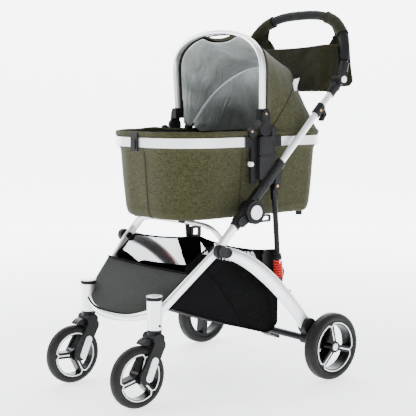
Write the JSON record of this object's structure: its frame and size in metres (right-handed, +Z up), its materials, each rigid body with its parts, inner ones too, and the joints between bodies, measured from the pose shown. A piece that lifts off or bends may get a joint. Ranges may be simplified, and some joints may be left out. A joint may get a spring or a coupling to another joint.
{
  "type": "pet stroller",
  "caption": "Folding pet stroller with a lift-off fabric carrier, arched hood, sprung struts, swivel front casters and a basket underneath.",
  "frame": {"origin": "on the ground below the middle of the stroller's outer box", "axes": "+Z up, -Y towards the front casters, +Y towards the handle, +X to the stroller's left"},
  "size_m": [0.57, 0.7755, 0.9909],
  "materials": {
    "aluminium": "satin anodised aluminium",
    "black_plastic": "moulded charcoal plastic with a fine grain",
    "dark_metal": "black powder-coated steel",
    "white_trim": "pale silver-white plastic",
    "tyre": "solid foam tyre, matt black",
    "wheel": "black moulded wheel",
    "foam": "closed-cell foam grip",
    "olive_fabric": "olive heather woven polyester",
    "basket_fabric": "black mesh and woven fabric",
    "mat": "grey quilted mat",
    "board": "stiff plastic board",
    "spring": "red-painted coil spring"
  },
  "bodies": {
    "front_frame": {"front_leg_left": "aluminium", "front_leg_right": "aluminium", "front_cross_tube": "aluminium", "arch_tube": "aluminium", "hub_castings": "black_plastic", "frame_caps": "white_trim", "caster_housings": "aluminium", "leg_pivot_pins": "black_plastic", "basket": "basket_fabric"},
    "handle_frame": {"upper_tube_left": "aluminium", "upper_tube_right": "aluminium", "upper_casting_left": "black_plastic", "upper_casting_right": "black_plastic", "hinge_sockets": "black_plastic"},
    "catch_left": {"catch_left": "black_plastic"},
    "catch_right": {"catch_right": "black_plastic"},
    "handlebar": {"handle_hubs": "black_plastic", "handlebar_tube": "dark_metal", "handle_grip": "foam", "organiser": "olive_fabric"},
    "handle_button_left": {"handle_button_left": "white_trim"},
    "handle_button_right": {"handle_button_right": "white_trim"},
    "rear_frame": {"rear_leg_left": "aluminium", "rear_leg_right": "aluminium", "rear_leg_joints": "black_plastic", "rear_axle_tube": "dark_metal", "wheel_housing_left": "black_plastic", "wheel_housing_right": "black_plastic", "strut_brackets": "dark_metal"},
    "strut_left": {"strut_rod_left": "dark_metal", "spring_left": "spring"},
    "strut_right": {"strut_rod_right": "dark_metal", "spring_right": "spring"},
    "shock_left": {"strut_tube_left": "dark_metal"},
    "shock_right": {"strut_tube_right": "dark_metal"},
    "brake": {"brake_pedal": "black_plastic"},
    "rear_wheel_left": {"rear_tyre_left": "tyre", "rear_wheel_left": "wheel"},
    "rear_wheel_right": {"rear_tyre_right": "tyre", "rear_wheel_right": "wheel"},
    "caster_left": {"fork_left": "black_plastic"},
    "caster_right": {"fork_right": "black_plastic"},
    "front_wheel_left": {"front_tyre_left": "tyre", "front_wheel_left": "wheel"},
    "front_wheel_right": {"front_tyre_right": "tyre", "front_wheel_right": "wheel"},
    "carrier": {"carrier_shell": "olive_fabric", "rim_front": "aluminium", "rim_rear": "aluminium", "carrier_brackets": "black_plastic", "base_board": "board", "carrier_mat": "mat", "rim_clip": "black_plastic", "carrier_feet": "black_plastic", "canopy": "olive_fabric"},
    "release_button_left": {"release_button_left": "white_trim"},
    "release_button_right": {"release_button_right": "white_trim"},
    "hood": {"hood_bow": "aluminium", "hood_sockets": "black_plastic"},
    "rear_bow": {"hood_rear_bow": "dark_metal"}
  },
  "joints": [
    {"name": "fold", "type": "hinge", "parent": "front_frame", "child": "handle_frame", "pos_m": [0, 0.007, 0.457], "axis": [1, 0, 0], "range_deg": [-100, 0], "deforming": ["basket"]},
    {"name": "rear_fold", "type": "hinge", "parent": "front_frame", "child": "rear_frame", "pos_m": [0, -0.107, 0.368], "axis": [1, 0, 0], "range_deg": [-52, 0]},
    {"name": "strut_left", "type": "hinge", "parent": "rear_frame", "child": "strut_left", "pos_m": [0.186, 0.113, 0.258], "axis": [1, 0, 0], "range_deg": [0, 22.5]},
    {"name": "shock_left", "type": "slide", "parent": "strut_left", "child": "shock_left", "axis": [0, -0.0808, 0.9967], "range_m": [-0.01, 0], "stiffness_N_per_m": 6000, "deforming": ["spring_left"]},
    {"name": "strut_right", "type": "hinge", "parent": "rear_frame", "child": "strut_right", "pos_m": [-0.186, 0.113, 0.258], "axis": [1, 0, 0], "range_deg": [0, 22.5]},
    {"name": "shock_right", "type": "slide", "parent": "strut_right", "child": "shock_right", "axis": [0, -0.0808, 0.9967], "range_m": [-0.01, 0], "stiffness_N_per_m": 6000, "deforming": ["spring_right"]},
    {"name": "handle_tilt", "type": "hinge", "parent": "handle_frame", "child": "handlebar", "pos_m": [0, 0.322, 0.794], "axis": [1, 0, 0], "range_deg": [-60, 15]},
    {"name": "handle_button_left", "type": "slide", "parent": "handlebar", "child": "handle_button_left", "axis": [-1, 0, 0], "range_m": [0, 0.0025], "stiffness_N_per_m": 400},
    {"name": "catch_left", "type": "slide", "parent": "handle_frame", "child": "catch_left", "axis": [0, 0.7169, 0.6972], "range_m": [0, 0.015], "stiffness_N_per_m": 300},
    {"name": "handle_button_right", "type": "slide", "parent": "handlebar", "child": "handle_button_right", "axis": [1, 0, 0], "range_m": [0, 0.0025], "stiffness_N_per_m": 400},
    {"name": "catch_right", "type": "slide", "parent": "handle_frame", "child": "catch_right", "axis": [0, 0.7169, 0.6972], "range_m": [0, 0.015], "stiffness_N_per_m": 300},
    {"name": "carrier_lift", "type": "slide", "parent": "handle_frame", "child": "carrier", "axis": [0, -0.2079, 0.9781], "range_m": [0, 0.3]},
    {"name": "release_button_left", "type": "slide", "parent": "carrier", "child": "release_button_left", "axis": [0, 1, 0], "range_m": [0, 0.003], "stiffness_N_per_m": 400},
    {"name": "release_button_right", "type": "slide", "parent": "carrier", "child": "release_button_right", "axis": [0, 1, 0], "range_m": [0, 0.003], "stiffness_N_per_m": 400},
    {"name": "hood_fold", "type": "hinge", "parent": "carrier", "child": "hood", "pos_m": [0, 0.058, 0.668], "axis": [1, 0, 0], "range_deg": [-50, 0], "deforming": ["canopy"]},
    {"name": "rear_bow_fold", "type": "hinge", "parent": "carrier", "child": "rear_bow", "pos_m": [0, 0.097, 0.664], "axis": [1, 0, 0], "range_deg": [-55, 0]},
    {"name": "caster_left", "type": "hinge", "parent": "front_frame", "child": "caster_left", "pos_m": [0.145, -0.265, 0.2], "axis": [0, 0, 1], "continuous": true},
    {"name": "front_wheel_spin_left", "type": "hinge", "parent": "caster_left", "child": "front_wheel_left", "pos_m": [0.145, -0.317, 0.076], "axis": [1, 0, 0], "continuous": true},
    {"name": "rear_wheel_spin_left", "type": "hinge", "parent": "rear_frame", "child": "rear_wheel_left", "pos_m": [0.267, 0.228, 0.089], "axis": [1, 0, 0], "continuous": true},
    {"name": "caster_right", "type": "hinge", "parent": "front_frame", "child": "caster_right", "pos_m": [-0.145, -0.265, 0.2], "axis": [0, 0, 1], "continuous": true},
    {"name": "front_wheel_spin_right", "type": "hinge", "parent": "caster_right", "child": "front_wheel_right", "pos_m": [-0.145, -0.317, 0.076], "axis": [1, 0, 0], "continuous": true},
    {"name": "rear_wheel_spin_right", "type": "hinge", "parent": "rear_frame", "child": "rear_wheel_right", "pos_m": [-0.267, 0.228, 0.089], "axis": [1, 0, 0], "continuous": true},
    {"name": "brake_press", "type": "hinge", "parent": "rear_frame", "child": "brake", "pos_m": [0.08, 0.171, 0.112], "axis": [1, 0, 0], "range_deg": [-20, 0]}
  ],
  "couplings": [
    {"joint": "rear_fold", "follows": "fold", "ratio": 0.519},
    {"joint": "strut_left", "follows": "fold", "ratio": -0.224},
    {"joint": "strut_right", "follows": "fold", "ratio": -0.224},
    {"joint": "rear_bow_fold", "follows": "hood_fold", "ratio": 0.555}
  ]
}
